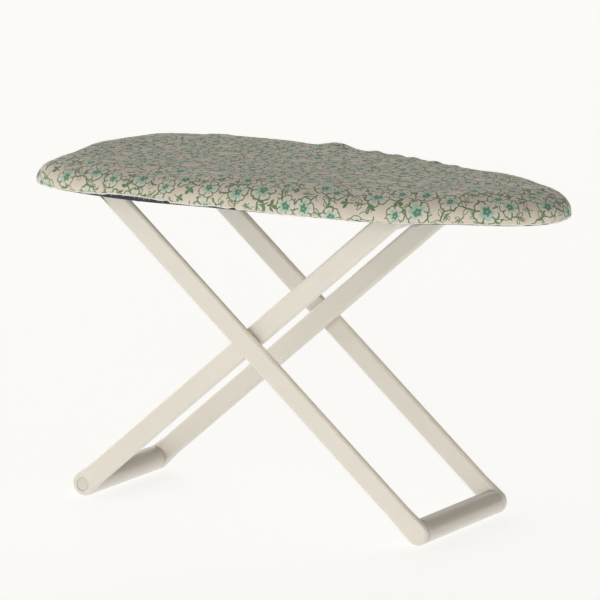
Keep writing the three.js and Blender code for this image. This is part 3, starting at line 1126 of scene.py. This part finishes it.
def add_bar(name, node, top, foot, rise, sign, bores, body):
    """A flat bar with well rounded edges. Bores are (place along it, radius, opening)."""
    low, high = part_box(node)
    middle_y = (low.y + high.y) / 2
    half = (high.y - low.y) / 2
    direction = Vector((foot.x - top.x, 0, foot.z - top.z))
    length = direction.length
    direction.normalize()
    aside = Vector((-direction.z, 0, direction.x)) * (1 if direction.x > 0 else -1) * rise
    fall = math.asin(-direction.z)
    loop, outward = bar_outline(length, fall, rise, panel_dip(top.x, middle_y))
    profile = bar_profile(half)
    points = []

    def place(plan, y):
        start = len(points)
        for u, v in plan:
            spot = Vector((top.x, 0, top.z)) + direction * u + aside * v
            points.append((spot.x, middle_y + y, spot.z))
        return range(start, start + len(plan))

    for inset, y in profile:
        place(loop - outward * inset, y)
    count = len(loop)
    faces = ring_faces(len(profile), count)

    floor_depth = 2 * half - BORE_FLOOR
    for face_y, ring_start in ((-half, 0), (half, (len(profile) - 1) * count)):
        outer_face = face_y * sign > 0
        plans = [loop - outward * BAR_EDGE]
        numbers = list(range(ring_start, ring_start + count))
        for u, radius, opening in bores:
            if opening == (INWARD if outer_face else OUTWARD):
                continue
            mouth = circle(u, radius + SEAM)
            plans.append(mouth)
            ring = place(mouth, face_y)
            numbers += ring
            if opening == THROUGH and face_y > 0:
                faces += band(through_start, ring.start, len(mouth))
            elif opening == THROUGH:
                through_start = ring.start
            else:
                deep = place(mouth, face_y - math.copysign(floor_depth, face_y))
                faces += band(ring.start, deep.start, len(mouth))
                faces.append(tuple(deep))
        flat = [[Vector((u, v, 0)) for u, v in plan] for plan in plans]
        for triangle in tessellate_polygon(flat):
            faces.append(tuple(numbers[i] for i in triangle))
    piece = add_piece(name, points, faces, CREAM, body)
    close_up(piece, FINE_JOIN)
    along = np.array([(vertex.co - top).dot(direction) for vertex in piece.data.vertices])
    mark(piece, "bar", np.ones(len(along)))
    # The bar's material paints a highlight on its upward sides; this number fades it out near the
    # foot.
    mark(piece, "painted_light_fade", np.clip((length - FOOT_START - along) / FOOT_FADE, 0, 1))
    even_normals(piece)
    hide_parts(node)


def add_rod(name, node, radius, finish, body, edge):
    half = size(node).y / 2
    profile = [(0, -half), *round_side(radius, half, edge, ROD_EDGE_STEPS), (0, half)]
    piece = revolved(name, profile, middle(node), finish, body)
    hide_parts(node)


def add_foot_tube(name, node, body):
    half = size(node).y / 2
    side = round_side(FOOT_RADIUS, half, TUBE_EDGE, ROUND_STEPS)
    profile = [(TUBE_BORE, -half), *side, (TUBE_BORE, half)]
    piece = revolved(name, profile, middle(node), CREAM, body, TUBE_SIDES)
    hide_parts(node)


FRAMES = [
    ("outer", HINGE, OUTER_FOOT, 1, HINGE_ROD, INWARD, INWARD),
    ("inner", SLIDE, INNER_FOOT, -1, SLIDE_ROD, OUTWARD, THROUGH),
]
for prefix, top, foot, rise, top_rod, pin_opening, foot_opening in FRAMES:
    body = f"{prefix}_leg_frame"
    length = math.hypot(foot.x - top.x, foot.z - top.z)
    crossing = math.hypot(CROSSING.x - top.x, CROSSING.z - top.z)
    bores = [(0, top_rod, INWARD), (crossing, PIN, pin_opening), (length, TIE_ROD, foot_opening)]
    for side, sign in (("near", -1), ("far", 1)):
        node = f"{prefix}_bar_{side}"
        add_bar(f"{prefix}_leg_{side}", node, top, foot, rise, sign, bores, body)
    add_foot_tube(f"{prefix}_foot", f"{prefix}_foot_tube", body)
    add_rod(f"{prefix}_foot_tie", f"{prefix}_foot_rod", TIE_ROD, CREAM, body, SMALL_EDGE)
add_rod("hinge_rod", "outer_hinge_rod", HINGE_ROD, STEEL, "outer_leg_frame", ROD_EDGE)
add_rod("slide_rod", "inner_slide_rod", SLIDE_ROD, CREAM, "inner_leg_frame", ROD_EDGE)
for side in ("near", "far"):
    add_rod(f"pin_{side}", f"pivot_pin_{side}", PIN, CREAM, "outer_leg_frame", SMALL_EDGE)

# ---------- steel fittings kept from the frame ----------

FITTING_EDGE = 0.06 * MM
SHARP_ANGLE = math.radians(40)

for node in frame["nodes"].values():
    if node.hide_render:
        continue
    node.data.materials.clear()
    node.data.materials.append(STEEL[0])
    edges = node.modifiers.new("edges", "BEVEL")
    edges.width = FITTING_EDGE
    edges.segments = 2
    edges.limit_method = "ANGLE"
    edges.angle_limit = SHARP_ANGLE
    even_normals(node)

# ---------- stage and light ----------

FLOOR_HALF = 6.0
FLOOR_TONE = (0.25, 0.247, 0.24, 1)
FLOOR_GLOW = (1, 0.995, 0.98, 1)
FLOOR_GLOW_STRENGTH = 0.795


def add_floor():
    """A floor that mostly glows, so that the shadows on it stay faint."""
    signs = ((-1, -1), (1, -1), (1, 1), (-1, 1))
    corners = [(x * FLOOR_HALF, y * FLOOR_HALF, 0) for x, y in signs]
    mesh = new_mesh("floor", corners, [(0, 1, 2, 3)])
    surface = Surface(
        "floor_white",
        Roughness=0.8,
        Base_Color=FLOOR_TONE,
        Emission_Color=FLOOR_GLOW,
        Emission_Strength=FLOOR_GLOW_STRENGTH,
    )
    mesh.materials.append(surface.material)
    placed("floor", mesh)


# Brightness of the studio round the object in eighths of a turn, anticlockwise from -X: at the
# horizon, and about 25 degrees up. It is brightest in front and dark where the nose points.
LOW_RING = [1.45, 2.2, 3.3, 2.95, 1.8, 0.2, 0.0, 0.9]
MIDDLE_RING = [1.9, 1.4, 0.95, 0.0, 0.15, 0.0, 1.1, 2.3]
OVERHEAD = 0.07
STUDIO_TINT = (1.0, 0.97, 0.92, 1)
RING_SCALE = 4.0
HORIZON = 0.95
HORIZON_HEIGHT = 0.035


def ring_brightness(tree, turn, levels):
    ramp = tree.nodes.new("ShaderNodeValToRGB")
    tree.links.new(turn.socket, ramp.inputs[0])
    stops = ramp.color_ramp.elements
    while len(stops) <= len(levels):
        stops.new(0.5)
    for number, stop in enumerate(stops):
        level = levels[number % len(levels)] / RING_SCALE
        stop.position = number / len(levels)
        stop.color = (level, level, level, 1)
    return Field(tree, ramp.outputs[0]) * RING_SCALE


def add_world():
    """The pale studio: a ring at the horizon, one above it and a dim ceiling, blended by height."""
    world = bpy.data.worlds.new("studio")
    world.use_nodes = True
    tree = world.node_tree
    background = tree.nodes["Background"]
    direction = tree.nodes.new("ShaderNodeTexCoord")
    parts = tree.nodes.new("ShaderNodeSeparateXYZ")
    tree.links.new(direction.outputs["Generated"], parts.inputs[0])
    x, y, height = (Field(tree, output) for output in parts.outputs)
    turn = y.math("ARCTAN2", x) / TAU + 0.5
    above_low = ((height - 0.12) * 5.0).clamped()
    above_middle = ((height - 0.5) * 4.0).clamped()
    low = ring_brightness(tree, turn, LOW_RING) * above_low.inverse()
    middle_ring = ring_brightness(tree, turn, MIDDLE_RING) * above_low * above_middle.inverse()
    horizon = height.below(HORIZON_HEIGHT, 0.01) * HORIZON
    brightness = (low + middle_ring + above_middle * OVERHEAD).larger(horizon)
    tree.links.new(brightness.socket, background.inputs["Strength"])
    background.inputs["Color"].default_value = STUDIO_TINT
    bpy.context.scene.world = world


KEY_SIZE = 0.1
KEY_POWER = 0.45
KEY_PLACE = (0.31, -0.95, 0.5)


def add_key():
    """A small soft box in front, which draws a light line down the bars' rounded edges."""
    data = bpy.data.lights.new("key", "AREA")
    data.size = KEY_SIZE
    data.energy = KEY_POWER
    light = placed("key", data)
    light.location = KEY_PLACE
    aim = VIEW_AIM - light.location
    light.rotation_euler = aim.to_track_quat("-Z", "Y").to_euler()


add_floor()
add_world()
add_key()
bpy.context.scene.view_settings.view_transform = "Standard"
